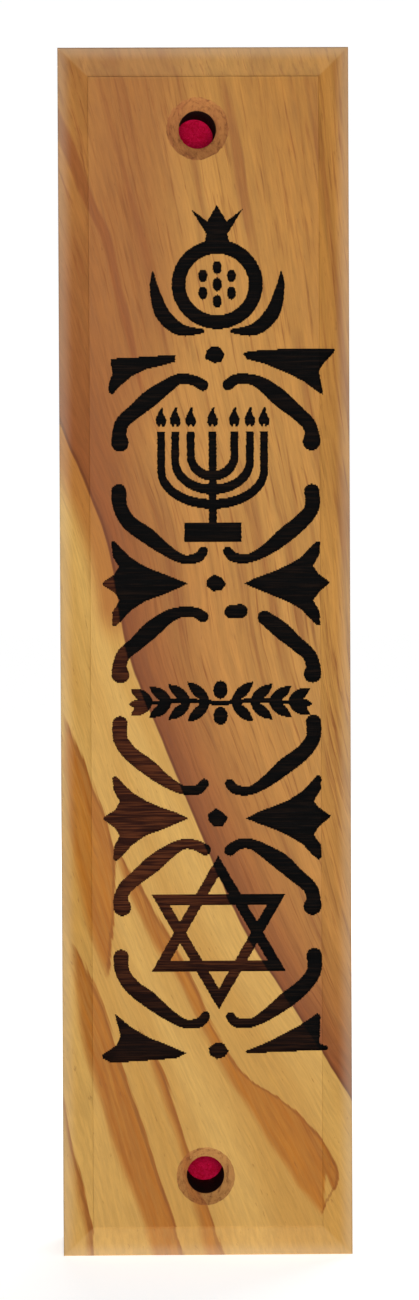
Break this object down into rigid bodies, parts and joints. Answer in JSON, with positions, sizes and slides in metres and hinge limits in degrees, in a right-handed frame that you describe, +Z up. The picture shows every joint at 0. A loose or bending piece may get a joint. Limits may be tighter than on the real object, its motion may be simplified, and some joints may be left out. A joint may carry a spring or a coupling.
{
  "type": "mezuzah case",
  "caption": "Bevelled olive-wood mezuzah case with countersunk screw holes, a routed scroll channel and a sliding felt-lined back cover over a rolled blank parchment.",
  "frame": {"origin": "centre of the rear mounting plane, halfway up the case, where it meets the doorpost", "axes": "+Z up along the case's long axis, +Y out of the back into the doorpost, +X to the right seen from the decorated front, which faces -Y"},
  "size_m": [0.03, 0.015, 0.125],
  "materials": {
    "olive_wood": "satin",
    "cover_wood": "matte",
    "felt": "matte",
    "parchment": "matte",
    "clear_film": "gloss"
  },
  "bodies": {
    "case": {"case_body": "olive_wood", "parchment_scroll": "parchment", "scroll_sleeve": "clear_film"},
    "cover": {"back_cover": "cover_wood", "cover_felt": "felt"}
  },
  "joints": [
    {"name": "cover_slide", "type": "slide", "parent": "case", "child": "cover", "axis": [0, 0, 1], "range_m": [0, 0.125]}
  ]
}
